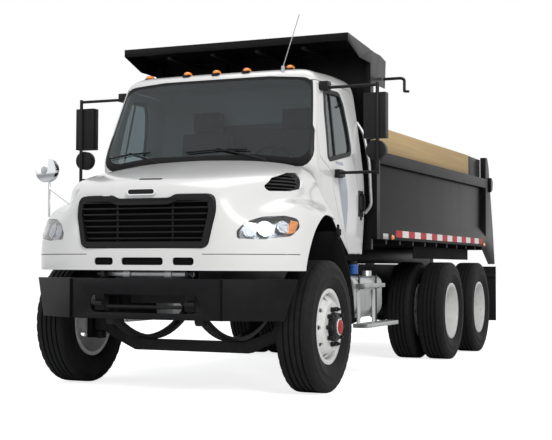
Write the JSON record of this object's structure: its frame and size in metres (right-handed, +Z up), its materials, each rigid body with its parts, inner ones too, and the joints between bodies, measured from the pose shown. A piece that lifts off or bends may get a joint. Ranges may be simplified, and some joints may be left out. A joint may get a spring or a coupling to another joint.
{
  "type": "dump truck",
  "caption": "Tandem-axle dump truck with a day cab, tilting hood, steel dump body on a hoist, swinging tailgate, steered front wheels and twin rear wheels.",
  "frame": {"origin": "on the ground, under the middle of the whole truck", "axes": "+Z up; the truck faces -Y; +X is the driver's left-hand side"},
  "size_m": [2.98, 7.174, 3.1343],
  "materials": {
    "chassis_black": "satin black chassis paint",
    "bumper_black": "satin black powder coat",
    "radiator_grey": "fins and tanks",
    "cast_grey": "painted casting",
    "tank_grey": "grey-green satin",
    "step_metal": "brushed tread plate",
    "black_plastic": "grained black moulding",
    "black_rubber": "matt",
    "white_paint": "gloss white",
    "dark_glass": "tinted",
    "grey_plastic": "grained",
    "grey_cloth": "woven",
    "bright_metal": "plain",
    "clear_lens": "clear lens over bright reflector",
    "mirror_chrome": "bright",
    "tyre": "road tread",
    "rim_white": "white wheel enamel",
    "body_black": "gloss black body paint",
    "plywood": "plain boards"
  },
  "bodies": {
    "chassis": {"frame": "chassis_black", "frame_crossmembers": "chassis_black", "front_bumper": "bumper_black", "radiator": "radiator_grey", "engine": "cast_grey", "driveshafts": "chassis_black", "front_axle": "chassis_black", "front_springs": "chassis_black", "rear_axles": "chassis_black", "rear_suspension": "chassis_black", "fuel_tank": "tank_grey", "battery_box": "step_metal", "side_steps": "step_metal", "splash_shields": "black_plastic", "mudflaps": "black_rubber", "cab": "white_paint", "cab_glass": "dark_glass", "dashboard": "grey_plastic", "steering_wheel": "black_plastic", "seats": "grey_cloth", "antenna": "bright_metal"},
    "hood_body": {"hood": "white_paint", "grille": "black_plastic", "headlights": "clear_lens", "fender_mirror": "mirror_chrome"},
    "door_left_body": {"door_left": "white_paint", "door_glass_left": "dark_glass", "mirror_left": "black_plastic"},
    "door_right_body": {"door_right": "white_paint", "door_glass_right": "dark_glass", "mirror_right": "black_plastic"},
    "knuckle_left_body": {"knuckle_left": "chassis_black"},
    "knuckle_right_body": {"knuckle_right": "chassis_black"},
    "front_wheel_left": {"front_tyre_left": "tyre", "front_rim_left": "rim_white"},
    "front_wheel_right": {"front_tyre_right": "tyre", "front_rim_right": "rim_white"},
    "dump_body": {"bed_floor": "body_black", "bed_crossmembers": "body_black", "bed_sills": "body_black", "bed_sides": "body_black", "bed_front": "body_black", "sideboards": "plywood", "tarp_roller": "chassis_black"},
    "tailgate_body": {"tailgate": "body_black"},
    "hoist_barrel_body": {"hoist_barrel": "chassis_black"},
    "hoist_rod_body": {"hoist_rod": "bright_metal"},
    "rear_wheels_left_1": {"rear_tyres_left_1": "tyre", "rear_rims_left_1": "rim_white"},
    "rear_wheels_left_2": {"rear_tyres_left_2": "tyre", "rear_rims_left_2": "rim_white"},
    "rear_wheels_right_1": {"rear_tyres_right_1": "tyre", "rear_rims_right_1": "rim_white"},
    "rear_wheels_right_2": {"rear_tyres_right_2": "tyre", "rear_rims_right_2": "rim_white"}
  },
  "joints": [
    {"name": "bed_tilt", "type": "hinge", "parent": "chassis", "child": "dump_body", "pos_m": [0, 3.257, 1.082], "axis": [-1, 0, 0], "range_deg": [0, 50]},
    {"name": "tailgate_swing", "type": "hinge", "parent": "dump_body", "child": "tailgate_body", "pos_m": [0, 3.332, 2.035], "axis": [1, 0, 0], "range_deg": [0, 65]},
    {"name": "hoist_swing", "type": "hinge", "parent": "chassis", "child": "hoist_barrel_body", "pos_m": [0, -0.083, 0.86], "axis": [1, 0, 0], "range_deg": [0, 30]},
    {"name": "hoist_slide", "type": "slide", "parent": "hoist_barrel_body", "child": "hoist_rod_body", "axis": [0, 0.9904, 0.1384], "range_m": [0, 0.935]},
    {"name": "hood_tilt", "type": "hinge", "parent": "chassis", "child": "hood_body", "pos_m": [0, -3.553, 0.932], "axis": [1, 0, 0], "range_deg": [0, 65]},
    {"name": "door_left_hinge", "type": "hinge", "parent": "chassis", "child": "door_left_body", "pos_m": [1.066, -2.441, 1.855], "axis": [0, 0, -1], "range_deg": [0, 70]},
    {"name": "door_right_hinge", "type": "hinge", "parent": "chassis", "child": "door_right_body", "pos_m": [-1.066, -2.441, 1.855], "axis": [0, 0, 1], "range_deg": [0, 70]},
    {"name": "steer_left", "type": "hinge", "parent": "chassis", "child": "knuckle_left_body", "pos_m": [0.89, -2.703, 0.522], "axis": [0, 0, 1], "range_deg": [-36, 36]},
    {"name": "steer_right", "type": "hinge", "parent": "chassis", "child": "knuckle_right_body", "pos_m": [-0.89, -2.703, 0.522], "axis": [0, 0, 1], "range_deg": [-36, 36]},
    {"name": "spin_front_left", "type": "hinge", "parent": "knuckle_left_body", "child": "front_wheel_left", "pos_m": [1.075, -2.703, 0.522], "axis": [1, 0, 0], "continuous": true},
    {"name": "spin_front_right", "type": "hinge", "parent": "knuckle_right_body", "child": "front_wheel_right", "pos_m": [-1.075, -2.703, 0.522], "axis": [1, 0, 0], "continuous": true},
    {"name": "spin_rear_left_1", "type": "hinge", "parent": "chassis", "child": "rear_wheels_left_1", "pos_m": [0.9225, 1.151, 0.522], "axis": [1, 0, 0], "continuous": true},
    {"name": "spin_rear_right_1", "type": "hinge", "parent": "chassis", "child": "rear_wheels_right_1", "pos_m": [-0.9225, 1.151, 0.522], "axis": [1, 0, 0], "continuous": true},
    {"name": "spin_rear_left_2", "type": "hinge", "parent": "chassis", "child": "rear_wheels_left_2", "pos_m": [0.9225, 2.469, 0.522], "axis": [1, 0, 0], "continuous": true},
    {"name": "spin_rear_right_2", "type": "hinge", "parent": "chassis", "child": "rear_wheels_right_2", "pos_m": [-0.9225, 2.469, 0.522], "axis": [1, 0, 0], "continuous": true}
  ],
  "couplings": [
    {"joint": "hoist_swing", "follows": "bed_tilt", "ratio": 0.5664},
    {"joint": "hoist_slide", "follows": "bed_tilt", "m_per_rad": 1.0655},
    {"joint": "steer_right", "follows": "steer_left", "ratio": 1}
  ]
}
